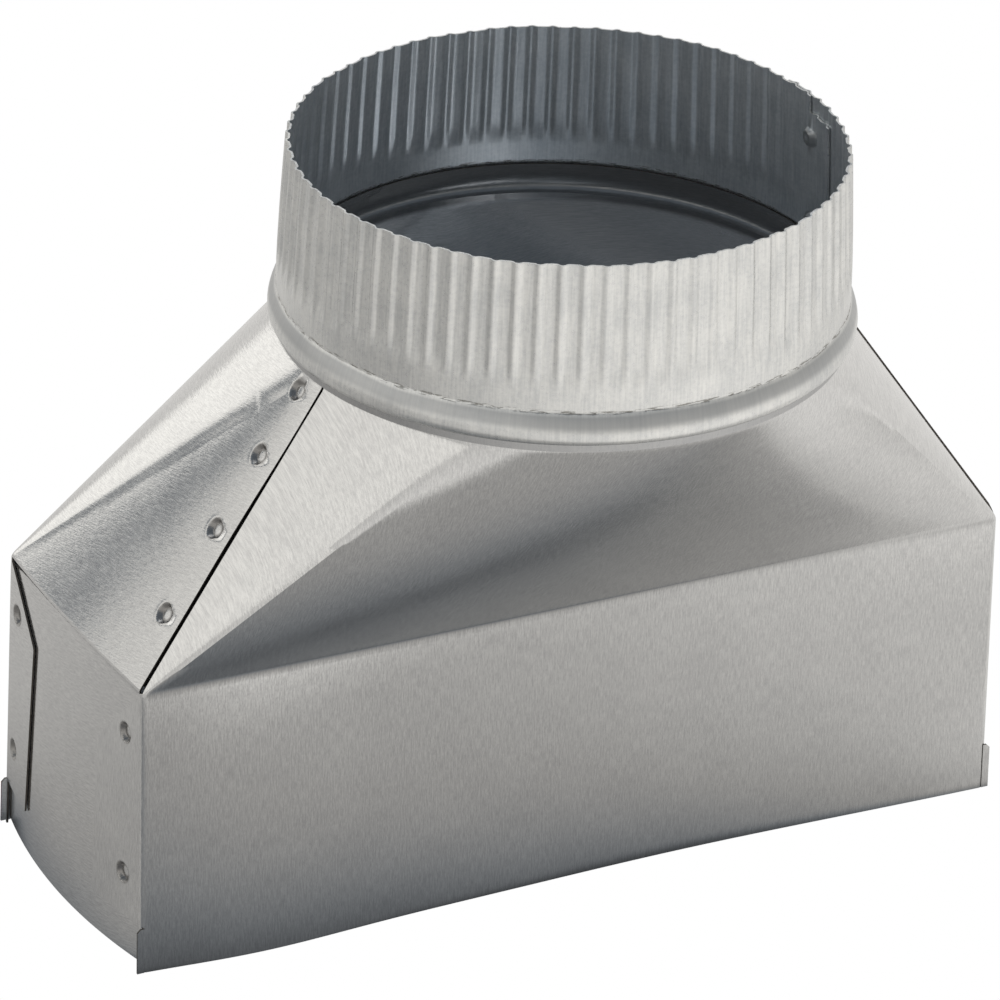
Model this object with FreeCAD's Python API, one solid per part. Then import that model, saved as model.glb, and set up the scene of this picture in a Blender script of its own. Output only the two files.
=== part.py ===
import FreeCAD, Part
import math
import os
from FreeCAD import Vector

# Rectangular to round duct transition in galvanized sheet, millimetres.
# The origin is the middle of the rectangular mouth, +Z runs up to the round collar,
# X runs along the wide faces and the collar leans out over the front face at -Y.

os.makedirs("parts", exist_ok=True)
doc = FreeCAD.newDocument("duct_transition")
sizes = doc.addObject("Spreadsheet::Sheet", "sizes")

# Driving dimensions: name, value, what it is
DIMENSIONS = (
    ("gauge", 0.55, "thickness of the sheet"),
    ("lap_gap", 0.2, "clearance between two lapped layers"),
    ("mouth_length", 260.8, "box outside, along X"),
    ("mouth_depth", 87.7, "box outside, along Y, at the fold"),
    ("mouth_flare", 2.0, "how far each wide face leans out at the mouth"),
    ("corner_radius", 2.0, "outside radius of the upright corners"),
    ("fold_height", 84.4, "height of the fold line round the box"),
    ("end_bow_mouth", 5.1, "how far the end faces bulge at the mouth"),
    ("end_bow_fold", 1.0, "how far the end faces bulge at the fold"),
    ("bend_angle", 7.4, "turn of the neck between two bend lines of a slope"),
    ("end_hem_height", 2.5, "lower edge of the end faces above the mouth"),
    ("collar_radius", 76.85, "outside radius of the plain collar"),
    ("collar_shift", -2.9, "collar axis off the middle of the box, along X"),
    ("slope_height", 80.6, "rise of the slopes, from the fold to the root of the neck"),
    ("neck_height", 11.2, "root of the neck up to its raw edge inside the collar"),
    ("skirt_rise", 0.4, "lower edge of the collar over the root of the neck"),
    ("bead_rise", 2.6, "underside of the bead over the root of the neck"),
    ("bead_rolled", 3.0, "underside of the bead up to its widest level"),
    ("bead_shoulder", 6.2, "widest level of the bead up to the plain wall"),
    ("bead_proud", 2.15, "how far the bead stands out of the plain wall"),
    ("plain_height", 6.2, "plain wall between the bead and the crimps"),
    ("crimp_inset", 0.12, "how far the crimps draw the wall in at their lower end"),
    ("crimp_run", 7.0, "height over which a crimp reaches its full depth"),
    ("crimp_height", 35.2, "crimped part of the collar up to the rim"),
    ("rim_taper", 1.55, "how far the crimped rim closes in"),
    ("crimp_depth", 0.8, "height of a ridge over the flats"),
    ("crimp_count", 80, "ridges round the collar"),
    ("crimp_phase", -1.25, "angle of the first ridge, degrees"),
    ("lap_crimps", 4, "ridges that the lap of the collar covers"),
    ("notch_height", 4.7, "corner notch of the inner lap below the rim"),
    ("crease_angle", 44.4, "half angle of the neck that the front fold feeds"),
    ("side_angle", 2.0, "half angle of the neck that each other fold feeds"),
    ("seam_angle", 7.8, "the front seams meet the neck this far before the sides"),
    ("seam_gap_fold", 1.5, "open width of a seam at the fold"),
    ("seam_gap_neck", 0.8, "open width of a seam at the neck"),
    ("tuck_width", 16.0, "flange tucked under the back sheet at a seam"),
    ("front_flange", 25.0, "width of the front flange on an end face"),
    ("back_flange", 20.5, "width of the back flange on an end face"),
    ("flange_low", 14.0, "lower edge of the flanges"),
    ("flange_drop", 1.3, "upper corner of a flange below the fold"),
    ("lip_out", 1.7, "how far the lips at the mouth stand out"),
    ("lip_height", 13.4, "height of the lips at the mouth"),
    ("clinch_mouth", 6.0, "clinch, width at the surface"),
    ("clinch_floor", 4.4, "clinch, width of its floor"),
    ("clinch_depth", 1.2, "clinch, depth"),
    ("clinch_count", 14, "flats round a clinch"),
    ("clinch_upper", 68.8, "upper clinch of a flange, height"),
    ("clinch_lower", 26.6, "lower clinch of a flange, height"),
    ("front_clinch", 9.4, "clinch of a front flange from the corner"),
    ("back_clinch", 7.5, "clinch of a back flange from the corner"),
    ("seam_clinch", 9.4, "seam clinches from the seam"),
    ("seam_first", 0.2165, "first seam clinch, share of the seam up from the fold"),
    ("seam_second", 0.4947, "second seam clinch"),
    ("seam_third", 0.7363, "third seam clinch"),
    ("seam_fourth", 0.9466, "fourth seam clinch"),
    ("lap_clinch_upper", 12.2, "upper clinch of the collar lap below the rim"),
    ("lap_clinch_lower", 2.8, "lower clinch of the collar lap below the crimps"),
)
for row, (alias, value, note) in enumerate(DIMENSIONS, start=1):
    sizes.set(f"A{row}", note)
    sizes.set(f"B{row}", str(value))
    sizes.setAlias(f"B{row}", alias)
doc.recompute()


def size(alias):
    return float(sizes.get(alias))


GAUGE = size("gauge")
LAYER = GAUGE + size("lap_gap")
HALF_X = size("mouth_length") / 2
HALF_Y = size("mouth_depth") / 2
FOLD = size("fold_height")
ROOT = FOLD + size("slope_height")
NECK_TOP = ROOT + size("neck_height")
BEAD_LOW = ROOT + size("bead_rise")
BEAD_MIDDLE = BEAD_LOW + size("bead_rolled")
SHOULDER = BEAD_MIDDLE + size("bead_shoulder")
CRIMP_LOW = SHOULDER + size("plain_height")
RIM = CRIMP_LOW + size("crimp_height")
PLAIN = size("collar_radius")
NECK = PLAIN - LAYER
# The collar stands flush with the back face
AXIS_X = size("collar_shift")
AXIS_Y = HALF_Y - NECK


# Helpers

def feature(name, shape):
    made = doc.addObject("Part::Feature", name)
    made.Shape = shape
    return made


def joined(kind, name, **links):
    made = doc.addObject(kind, name)
    for link, target in links.items():
        setattr(made, link, target)
    return made


def cut(name, base, tool):
    return joined("Part::Cut", name, Base=base, Tool=tool)


def common(name, base, tool):
    return joined("Part::Common", name, Base=base, Tool=tool)


def fuse(name, shapes):
    return joined("Part::MultiFuse", name, Shapes=shapes)


def side_prism(name, outline):
    """Solid with a side-view outline of (y, z) points, across the whole width."""
    reach = HALF_X + 3 * size("lip_out") + size("end_bow_mouth")
    points = [Vector(-reach, y, z) for y, z in outline]
    face = Part.Face(Part.makePolygon(points + points[:1]))
    return feature(name, face.extrude(Vector(2 * reach, 0, 0)))


# Bent walls: straight-sided rings of points, level over level

def flat(points):
    """Whether four points lie in one plane."""
    a, b, c, d = points
    normal = (b - a).cross(c - a)
    return normal.Length > 0 and abs(normal.normalize().dot(d - a)) < 1e-7


def panes(low, high):
    """Flat faces between two closed rings of as many points: whole, or bent on a diagonal."""
    faces = []
    count = len(low)
    for index in range(count):
        after = (index + 1) % count
        pane = [low[index], low[after], high[after], high[index]]
        parts = [pane] if flat(pane) else [pane[:3], [pane[0], pane[2], pane[3]]]
        faces += [Part.Face(Part.makePolygon(part + part[:1])) for part in parts]
    return faces


def walled(levels):
    """Solid inside rings of points that are listed from the bottom to the top."""
    faces = [Part.Face(Part.makePolygon(ring + ring[:1])) for ring in (levels[0], levels[-1])]
    for low, high in zip(levels, levels[1:]):
        faces += panes(low, high)
    shell = Part.Shell(faces)
    shell.sewShape()
    solid = Part.Solid(shell.Shells[0])
    if solid.Volume < 0:
        solid.reverse()
    return solid.removeSplitter()


# Envelopes of the box and the slopes, one for each skin of the lapped layers

CREASE = size("crease_angle")
SIDE = size("side_angle")


def bends(angle):
    """Number of flats between bend lines over an angle of the neck."""
    return max(round(angle / size("bend_angle")), 1)


FRONT_FLATS = bends(2 * CREASE)
FRONT_CORNER_FLATS = bends(90 - CREASE - SIDE)
BACK_CORNER_FLATS = bends(90 - 2 * SIDE)
END_FLATS = 2


def straight(start, end, count):
    return [start + (end - start) * (step / count) for step in range(count)]


def turned(centre, radius, first, last, count):
    """Points on an arc, from its first angle up to but without its last."""
    angles = [math.radians(first + (last - first) * step / count) for step in range(count)]
    return [centre + Vector(math.cos(a), math.sin(a), 0) * radius for a in angles]


def box_ring(z, half_y, end_bow, inset):
    """Rounded rectangle whose ends bulge to a blunt point in the middle."""
    radius = max(size("corner_radius") - inset, GAUGE / 2)
    x = HALF_X - inset
    y = half_y - inset
    flat_x = x - radius
    flat_y = y - radius
    right = Vector(x + end_bow, 0, z)
    left = Vector(-x - end_bow, 0, z)
    return (straight(Vector(-flat_x, -y, z), Vector(flat_x, -y, z), FRONT_FLATS)
            + turned(Vector(flat_x, -flat_y, z), radius, 270, 360, FRONT_CORNER_FLATS)
            + [Vector(x, -flat_y, z), right]
            + turned(Vector(flat_x, flat_y, z), radius, 0, 90, BACK_CORNER_FLATS)
            + [Vector(flat_x, y, z)]
            + turned(Vector(-flat_x, flat_y, z), radius, 90, 180, BACK_CORNER_FLATS)
            + [Vector(-x, flat_y, z), left]
            + turned(Vector(-flat_x, -flat_y, z), radius, 180, 270, FRONT_CORNER_FLATS))


def neck_ring(z, radius):
    """Neck in flats that match those of the box, side by side and corner by corner."""
    centre = Vector(AXIS_X, AXIS_Y, z)
    return (turned(centre, radius, 270 - CREASE, 270 + CREASE, FRONT_FLATS)
            + turned(centre, radius, 270 + CREASE, 360 - SIDE, FRONT_CORNER_FLATS)
            + turned(centre, radius, 360 - SIDE, 360 + SIDE, END_FLATS)
            + turned(centre, radius, SIDE, 90 - SIDE, BACK_CORNER_FLATS)
            + [centre + Vector(math.sin(math.radians(SIDE)), math.cos(math.radians(SIDE)), 0) * radius]
            + turned(centre, radius, 90 + SIDE, 180 - SIDE, BACK_CORNER_FLATS)
            + turned(centre, radius, 180 - SIDE, 180 + SIDE, END_FLATS)
            + turned(centre, radius, 180 + SIDE, 270 - CREASE, FRONT_CORNER_FLATS))


# Where the bead turns up, as shares of its rolled height and of how proud it stands
BEAD_TURN = (0.15, 0.6)


def bead_steps(low, high):
    """(height, how far out) of the bead that the collar and the neck share."""
    proud = size("bead_proud")
    quick = BEAD_LOW + BEAD_TURN[0] * size("bead_rolled")
    return [(low, 0), (BEAD_LOW, 0), (quick, BEAD_TURN[1] * proud),
            (BEAD_MIDDLE, proud), (min(SHOULDER, high), 0)]


def envelope(name, inset, with_neck):
    """Solid inside one skin: the mouth, the fold, the root of the neck and the neck itself."""
    rings = [box_ring(0, HALF_Y + size("mouth_flare"), size("end_bow_mouth"), inset),
             box_ring(FOLD, HALF_Y, size("end_bow_fold"), inset)]
    steps = bead_steps(ROOT, NECK_TOP) if with_neck else [(ROOT, 0)]
    rings += [neck_ring(z, NECK - inset + out) for z, out in steps]
    return feature(name, walled(rings))


outer_skin = envelope("outer_skin", 0, True)
outer_back = envelope("outer_back", GAUGE, True)
inner_skin = envelope("inner_skin", LAYER, False)
inner_back = envelope("inner_back", LAYER + GAUGE, False)
outer_layer = cut("outer_layer", outer_skin, outer_back)
inner_layer = cut("inner_layer", inner_skin, inner_back)
both_layers = cut("both_layers", outer_skin, inner_back)


# Side-view outlines that part the two sheets

def front_y(z):
    return -HALF_Y - size("mouth_flare") * (1 - z / FOLD)


def seam_y(z):
    share = (z - FOLD) / (ROOT - FOLD)
    at_neck = AXIS_Y - NECK * math.sin(math.radians(size("seam_angle")))
    at_fold = -HALF_Y + size("seam_gap_neck")
    return at_fold + (at_neck - at_fold) * share


EDGE = size("corner_radius") + size("lap_gap")
BELOW = -1.0
ABOVE = NECK_TOP + size("neck_height")
FRONT_REACH = AXIS_Y - 2 * PLAIN
FLANGE_LOW = size("flange_low")
FLANGE_TOP = FOLD - size("flange_drop")


def flange(width, inner):
    """Upright edge of a wide face and the flange that it turns round the corner."""
    slope_low = FLANGE_TOP - (width - EDGE)
    return [(front_y(BELOW) + EDGE, BELOW),
            (front_y(FLANGE_LOW) + EDGE, FLANGE_LOW),
            (front_y(FLANGE_LOW) + width, FLANGE_LOW),
            (front_y(slope_low) + width, slope_low),
            (front_y(FLANGE_TOP) + EDGE, FLANGE_TOP),
            (inner, FOLD)]


def mirrored(outline):
    return [(-y, z) for y, z in outline]


front_outline = ([(FRONT_REACH, BELOW)] + flange(size("front_flange"), seam_y(FOLD))
                 + [(seam_y(ROOT), ROOT), (seam_y(ROOT), ABOVE), (FRONT_REACH, ABOVE)])
back_edge_fold = seam_y(FOLD) + size("seam_gap_fold")
back_edge_neck = seam_y(ROOT) + size("seam_gap_neck")
back_outline = ([(-FRONT_REACH, BELOW)] + mirrored(flange(size("back_flange"), -HALF_Y + EDGE))
                + [(back_edge_fold, FOLD), (back_edge_neck, ROOT),
                   (back_edge_neck, ABOVE), (-FRONT_REACH, ABOVE)])
front_side = side_prism("front_side", front_outline)
back_side = side_prism("back_side", back_outline)

# Lips where the wide faces run past the corners at the mouth

def lip(name, across, along):
    """Small tab in the plane of a wide face: across is the end (-1, 1), along the face."""
    height = size("lip_height")
    inner = HALF_X - size("corner_radius") - GAUGE
    outer = HALF_X + size("lip_out")
    sections = []
    for z, reach in ((0.0, outer), (height - size("lip_out"), outer), (height, HALF_X)):
        y = -front_y(z)
        points = [Vector(across * x, along * w, z)
                  for x, w in ((inner, y), (reach, y), (reach, y - GAUGE), (inner, y - GAUGE))]
        sections.append(Part.makePolygon(points + points[:1]))
    return feature(name, Part.makeLoft(sections, True, True))


# Clinches: round recesses pressed through both layers, nested one in the other

CLINCH_SIDES = round(size("clinch_count"))


def seat(skin, guess):
    """Nearest point of a skin to a guess, and the outward normal there."""
    doc.recompute()
    gap, pairs, info = skin.Shape.Shells[0].distToShape(Part.Vertex(guess))
    point = pairs[0][0]
    for face in skin.Shape.Faces:
        if face.distToShape(Part.Vertex(point))[0] < 1e-6:
            u, v = face.Surface.parameter(point)
            normal = face.normalAt(u, v)
            break
    return point, normal


def pressed(name, point, normal, level, kind):
    """Punch mark for one layer: the recess that is cut or the button behind it."""
    depth = size("clinch_depth")
    mouth = size("clinch_mouth") / 2
    floor = size("clinch_floor") / 2
    slope = (mouth - floor) / depth
    # A leaning sheet is thinner across than along the level
    lean = math.hypot(normal.x, normal.y)
    if kind == "recess":
        surface = level
        top = lean * level - GAUGE / 2
    else:
        surface = level + GAUGE
        top = lean * (level + GAUGE / 2)
    rings = []
    for down, radius in ((surface + depth, floor), (top, mouth + slope * (surface - top))):
        rings.append(turned(Vector(0, 0, -down), radius, 0, 360, CLINCH_SIDES))
    made = feature(name, walled(rings))
    made.Placement = FreeCAD.Placement(point, FreeCAD.Rotation(Vector(0, 0, 1), normal))
    return made


def clinch_places():
    """Guessed points just outside the skin: the two seams and the four corners."""
    seams = []
    corners_front = []
    corners_back = []
    for across in (-1, 1):
        low = Vector(across * HALF_X, seam_y(FOLD), FOLD)
        high = Vector(AXIS_X + across * NECK, seam_y(ROOT), ROOT)
        for place in ("seam_first", "seam_second", "seam_third", "seam_fourth"):
            point = low + (high - low) * size(place)
            seams.append(point + Vector(0, size("seam_clinch"), 0))
        for height in (size("clinch_upper"), size("clinch_lower")):
            x = across * (HALF_X + GAUGE)
            corners_front.append(Vector(x, front_y(height) + size("front_clinch"), height))
            corners_back.append(Vector(x, -front_y(height) - size("back_clinch"), height))
    return seams, corners_front, corners_back


def clinch_row(name, places):
    """Recesses and buttons of one row of clinches, for the outer and the inner layer."""
    sets = {"outer_recess": [], "outer_button": [], "inner_recess": [], "inner_button": []}
    for count, guess in enumerate(places, start=1):
        point, normal = seat(outer_skin, guess)
        for layer, level in (("outer", 0.0), ("inner", LAYER)):
            for kind in ("recess", "button"):
                key = f"{layer}_{kind}"
                sets[key].append(pressed(f"{name}_{key}_{count}", point, normal, level, kind))
    return sets


seam_places, front_places, back_places = clinch_places()
seam_row = clinch_row("seam", seam_places)
front_row = clinch_row("front_corner", front_places)
back_row = clinch_row("back_corner", back_places)

# Front panel: front face, front slopes, front half of the neck, corner and seam flanges

step_outline = [(seam_y(FOLD) - GAUGE, FOLD + size("flange_drop")),
                (seam_y(FOLD), FOLD + size("flange_drop")),
                (seam_y(ROOT), ROOT - GAUGE), (seam_y(ROOT) - GAUGE, ROOT - GAUGE)]
TUCK = size("tuck_width")
tuck_outline = [(seam_y(FOLD) - GAUGE, FOLD + size("flange_drop")),
                (seam_y(FOLD) + TUCK, FOLD + size("flange_drop") + 0.8 * TUCK),
                (seam_y(ROOT) + TUCK, ROOT - 0.8 * TUCK),
                (seam_y(ROOT) + 0.4 * TUCK, ROOT - GAUGE), (seam_y(ROOT) - GAUGE, ROOT - GAUGE)]
front_skin = common("front_skin", outer_layer, front_side)
seam_step = common("seam_step", both_layers, side_prism("step_side", step_outline))
seam_tuck = common("seam_tuck", inner_layer, side_prism("tuck_side", tuck_outline))
front_lips = [lip("front_lip_left", -1, -1), lip("front_lip_right", 1, -1)]
front_blank = fuse("front_blank", [front_skin, seam_step, seam_tuck] + front_lips
                   + front_row["outer_button"] + seam_row["inner_button"])
front_panel = cut("front_panel", front_blank,
                  fuse("front_recesses", front_row["outer_recess"] + seam_row["inner_recess"]))

# Back wrap: back face, both end faces, their slopes, back half of the neck and flanges

END_EDGE = size("corner_radius") - size("lap_gap")
end_outline = [(front_y(0) + END_EDGE, size("end_hem_height")),
               (-front_y(0) - END_EDGE, size("end_hem_height")),
               (HALF_Y - END_EDGE, FOLD - GAUGE / 2), (-HALF_Y + END_EDGE, FOLD - GAUGE / 2)]
hem_outline = [(-HALF_Y + END_EDGE, FOLD - GAUGE), (HALF_Y - END_EDGE, FOLD - GAUGE),
               (HALF_Y - END_EDGE, FOLD), (-HALF_Y + END_EDGE, FOLD)]
back_skin = common("back_skin", outer_layer, back_side)
end_faces = common("end_faces", inner_layer, side_prism("end_side", end_outline))
end_hems = common("end_hems", both_layers, side_prism("hem_side", hem_outline))
back_lips = [lip("back_lip_left", -1, 1), lip("back_lip_right", 1, 1)]
back_blank = fuse("back_blank", [back_skin, end_faces, end_hems] + back_lips
                  + seam_row["outer_button"] + front_row["inner_button"]
                  + back_row["outer_button"] + back_row["inner_button"])
back_wrap = cut("back_wrap", back_blank,
                fuse("back_recesses", seam_row["outer_recess"] + front_row["inner_recess"]
                     + back_row["outer_recess"]))

# Collar: beaded ring, and above it the crimped strip whose inner end laps inside the outer one

def ring(low, high):
    """Rolled wall with the bead, one sheet thick, turned about the collar's axis."""
    steps = bead_steps(low, high) + [(high, 0)]
    outside = [Vector(PLAIN + out, 0, z) for z, out in steps]
    inside = [Vector(PLAIN - GAUGE + out, 0, z) for z, out in reversed(steps)]
    outline = Part.Face(Part.makePolygon(outside + inside + outside[:1]))
    solid = outline.revolve(Vector(0, 0, 0), Vector(0, 0, 1), 360)
    # Its joint line lies away from the lap
    solid.rotate(Vector(0, 0, 0), Vector(0, 0, 1), 90)
    solid.translate(Vector(AXIS_X, AXIS_Y, 0))
    return solid.Solids[0] if solid.Solids else Part.Solid(solid.Shells[0])


# One crimp as shares of its pitch and of its depth: a narrow ridge and a wide flat
RIDGE = ((0.0, 1.0), (0.22, 0.0), (0.78, 0.0))
CRIMPS = round(size("crimp_count"))
PITCH = 360.0 / CRIMPS
LAP_START = 0.5 - size("lap_crimps") / 2
LAP_END = 0.5 + size("lap_crimps") / 2
JOGGLE = 1.5
DRAWN = PLAIN - size("crimp_inset")
TAPER = (PLAIN - size("rim_taper")) / DRAWN


def crimp_levels(low):
    """Height, ridge radius, depth and layer step at each section of the crimped strip."""
    depth = size("crimp_depth")
    return ((low, DRAWN, 0.0, LAYER),
            (CRIMP_LOW + GAUGE / 2, DRAWN, 0.0, LAYER),
            (CRIMP_LOW + size("crimp_run"), DRAWN, depth, LAYER),
            (RIM, DRAWN * TAPER, depth * TAPER, LAYER * TAPER))


def wall_points(level, inset, first, last):
    """Corners of the crimped wall at one level, from one pitch mark to another.

    Up to the end of the lap the strip lies one layer further in, then it steps out.
    """
    z, ridge, depth, layer = level
    marks = [(first, 0.0)]
    for index in range(math.floor(first), math.ceil(last) + 1):
        marks += [(index + share, rise) for share, rise in RIDGE if first < index + share < last]
    marks.append((last, 0.0))
    points = []
    for mark, rise in marks:
        step = min(max((LAP_END + JOGGLE - mark) / JOGGLE, 0.0), 1.0)
        radius = ridge - depth * (1 - rise) - step * layer - inset * ridge / DRAWN
        angle = math.radians(size("crimp_phase") + mark * PITCH)
        points.append(Vector(AXIS_X + radius * math.cos(angle),
                             AXIS_Y + radius * math.sin(angle), z))
    return points


def crimped_strip(levels, inset, thickness, first, last):
    """Strip of crimped wall between its levels."""
    return walled([wall_points(level, inset, first, last)
                   + wall_points(level, inset + thickness, first, last)[::-1]
                   for level in levels])


crimped = feature("crimped", crimped_strip(crimp_levels(CRIMP_LOW - GAUGE), 0, GAUGE,
                                           LAP_START, CRIMPS + LAP_END))
tongue = feature("tongue", crimped_strip(crimp_levels(NECK_TOP + GAUGE)[:2], 0, GAUGE,
                                         LAP_START, LAP_END + JOGGLE))
beaded = feature("beaded", ring(ROOT + size("skirt_rise"), CRIMP_LOW))
rim_level = crimp_levels(RIM)[-1][1:]
notch = feature("notch", crimped_strip([(RIM - size("notch_height"),) + rim_level,
                                        (RIM + GAUGE,) + rim_level],
                                       -LAYER / 4, 3 * GAUGE, LAP_START - 0.5, 0.5))
lap_buttons = []
lap_recesses = []
lap_heights = (RIM - size("lap_clinch_upper"), CRIMP_LOW - size("lap_clinch_lower"))
for count, height in enumerate(lap_heights, start=1):
    angle = math.radians(size("crimp_phase") + 0.5 * PITCH)
    outward = Vector(math.cos(angle), math.sin(angle), 0)
    surface = PLAIN - size("crimp_depth") * (height > CRIMP_LOW)
    point = Vector(AXIS_X, AXIS_Y, height) + outward * surface
    lap_recesses.append(pressed(f"lap_recess_{count}", point, outward, 0, "recess"))
    lap_buttons.append(pressed(f"lap_button_{count}", point, outward, GAUGE, "button"))
collar_blank = fuse("collar_blank", [beaded, crimped, tongue] + lap_buttons)
collar = cut("collar", collar_blank, fuse("collar_recesses", lap_recesses + [notch]))

doc.recompute()

NODES = (front_panel, back_wrap, collar)
for item in doc.Objects:
    if "Invalid" in item.State or "Error" in item.State:
        raise RuntimeError(f"{item.Name} did not build: {item.State}")
for node in NODES:
    shape = node.Shape
    if shape.isNull() or not shape.isValid():
        raise RuntimeError(f"{node.Name} has no valid shape")
    if len(shape.Solids) != 1:
        raise RuntimeError(f"{node.Name} is {len(shape.Solids)} solids")
    node.Placement = FreeCAD.Placement()
    node.Label = node.Name
    shape.Solids[0].exportStep(f"parts/{node.Name}.step")
    print(node.Name, round(shape.Volume), "mm3", len(shape.Faces), "faces")
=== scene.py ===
import bpy
import math
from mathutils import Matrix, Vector, noise


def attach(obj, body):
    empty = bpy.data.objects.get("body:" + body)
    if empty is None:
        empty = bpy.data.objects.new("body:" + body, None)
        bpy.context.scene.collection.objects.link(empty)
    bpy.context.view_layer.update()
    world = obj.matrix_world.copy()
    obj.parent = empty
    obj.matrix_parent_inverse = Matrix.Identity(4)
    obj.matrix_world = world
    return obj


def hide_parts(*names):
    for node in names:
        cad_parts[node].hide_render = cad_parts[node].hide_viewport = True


# Looks of a rectangular to round duct transition in galvanized sheet.
# Sizes are in millimetres here and become metres when a mesh is made.

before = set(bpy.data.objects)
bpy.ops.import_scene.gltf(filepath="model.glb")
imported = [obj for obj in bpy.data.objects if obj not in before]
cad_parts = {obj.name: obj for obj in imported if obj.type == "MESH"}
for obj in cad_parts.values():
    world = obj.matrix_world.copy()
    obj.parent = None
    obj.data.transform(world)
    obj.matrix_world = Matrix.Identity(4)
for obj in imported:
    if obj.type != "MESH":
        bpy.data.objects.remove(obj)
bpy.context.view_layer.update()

MM = 0.001
GAUGE = 0.55
LAP_GAP = 0.2
LAYER = GAUGE + LAP_GAP
HALF_X = 130.4
HALF_Y = 43.85
FLARE = 2.0
CORNER = 2.0
FOLD = 84.4
BOW_MOUTH = 5.1
BOW_FOLD = 1.0
PLAIN = 76.85
NECK = PLAIN - LAYER
AXIS_X = -2.9
AXIS_Y = HALF_Y - NECK
ROOT = 165.0
NECK_TOP = 176.2
SKIRT_LOW = 165.4
BEAD_LOW = 167.6
BEAD_MIDDLE = 170.6
SHOULDER = 176.8
BEAD_PROUD = 2.15
CRIMP_LOW = 183.0
CRIMP_RUN = 7.0
RIM = 218.2
RIM_TAPER = 1.55
CRIMP_DEPTH = 0.8
CRIMPS = 80
CRIMP_PHASE = -1.25
CREASE = 44.4
SIDE = 2.0
SEAM_ANGLE = 7.8
SEAM_GAP_FOLD = 1.5
SEAM_GAP_NECK = 0.8
TUCK = 16.0
FRONT_FLANGE = 25.0
BACK_FLANGE = 20.5
FLANGE_LOW = 14.0
FLANGE_TOP = FOLD - 1.3
HEM = 2.5
LIP_OUT = 1.0  # 1.7 in the solids
LIP_HEIGHT = 13.4
BEND = 1.1
CLINCH_R = 3.0
CLINCH_DEPTH = 1.2
CLINCH_BUTTON = 0.12
CLINCH_RIM = 0.03
SEAM_RUNS = (20.7, 47.3, 70.4, 90.5)
SEAM_CLINCH = 9.4
FLANGE_MARKS = (68.8, 26.6)
FRONT_CLINCH = 9.4
BACK_CLINCH = 7.5
TUCK_JOGGLE = 0.9
EDGE_LIFT = 0.7
SLOPE_STRETCH = 1.22

# Spacing of the points of the sheets
FINE = 0.42
CLINCH_REACH = 3.6
NEAR_WIDTH = 14.5
SMOOTH_ANGLE = math.radians(38)

# Part of the ring that place() searches, on the left side (-1) and on the right side (1)
SEAM_MARK_SEARCH = {-1: (5.2, 7.99), 1: (1.01, 3.8)}
FLANGE_MARK_SEARCH = {-1: (6.01, 6.99), 1: (2.01, 2.99)}
END_SEARCH = {-1: (5.2, 7.98), 1: (1.02, 3.8)}
FLANGE_SEARCH = {-1: (6.0, 6.9999), 1: (2.0001, 3.0)}
FRONT_EDGE_SEARCH = {-1: (-1.6, -0.02), 1: (1.02, 2.6)}


def mix(a, b, t):
    """From a where t is 0 to b where t is 1."""
    return a + (b - a) * t


def smooth(low, high, x):
    """From 0 at low to 1 at high, level at both ends."""
    t = min(max((x - low) / (high - low), 0.0), 1.0)
    return t * t * (3 - 2 * t)


# The skin: a point for a height and a place round the ring. Sides are numbered from 0:
# front, front right corner, right end, back right corner, back, back left, left end, front left.

def ripple(f):
    """How far the lower edge of the front wanders out and in along its length."""
    ends = 1 - (2 * f - 1) ** 10
    return ends * (2.4 * math.exp(-((f - 0.13) / 0.13) ** 2) - 2.2 * math.exp(-((f - 0.64) / 0.24) ** 2))


def box_point(s, half_y, bow, loose, inset):
    """Point of the box's outline; bow bulges the ends and loose lets the front's edge wander."""
    radius = max(CORNER - inset, 0.2)
    x = HALF_X - inset
    y = half_y - inset
    side = int(s // 1) % 8
    f = s - s // 1
    corners = {1: (1, -1, 270), 3: (1, 1, 0), 5: (-1, 1, 90), 7: (-1, -1, 180)}
    if side in corners:
        across, along, first = corners[side]
        turn = math.radians(first + 90 * f)
        return (across * (x - radius) + radius * math.cos(turn),
                along * (y - radius) + radius * math.sin(turn))
    flat_x = x - radius
    flat_y = y - radius
    hump = 4 * f * (1 - f)
    if side == 0:
        return mix(-flat_x, flat_x, f), -y - loose * ripple(f)
    if side == 2:
        return x + bow * hump, mix(-flat_y, flat_y, f)
    if side == 4:
        return mix(flat_x, -flat_x, f), y
    return -x - bow * hump, mix(flat_y, -flat_y, f)


STOPS = (270 - CREASE, 270 + CREASE, 360 - SIDE, 360 + SIDE, 450 - SIDE, 450 + SIDE,
         540 + 1.5 * SIDE, 540 + 2.4 * SIDE, 630 - CREASE)


def neck_point(s, radius):
    """Point of the neck's circle for a place round the ring."""
    side = int(s // 1) % 8
    turn = math.radians(mix(STOPS[side], STOPS[side + 1], s - s // 1))
    return AXIS_X + radius * math.cos(turn), AXIS_Y + radius * math.sin(turn)


def bead(z):
    """How far the bead stands out at a height."""
    if z <= BEAD_LOW or z >= SHOULDER:
        return 0.0
    if z < BEAD_MIDDLE:
        t = (z - BEAD_LOW) / (BEAD_MIDDLE - BEAD_LOW)
        return BEAD_PROUD * math.sqrt(max(1 - (1 - t) ** 2.6, 0))
    t = (z - BEAD_MIDDLE) / (SHOULDER - BEAD_MIDDLE)
    return BEAD_PROUD * (1 - t ** 1.5)


def ruling(s, inset):
    """Mouth, fold and neck points of one ruling."""
    mouth = box_point(s, HALF_Y + FLARE, BOW_MOUTH, 1, inset)
    fold = box_point(s, HALF_Y, BOW_FOLD, 0, inset)
    neck = neck_point(s, NECK - inset)
    return mouth, fold, neck


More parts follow.
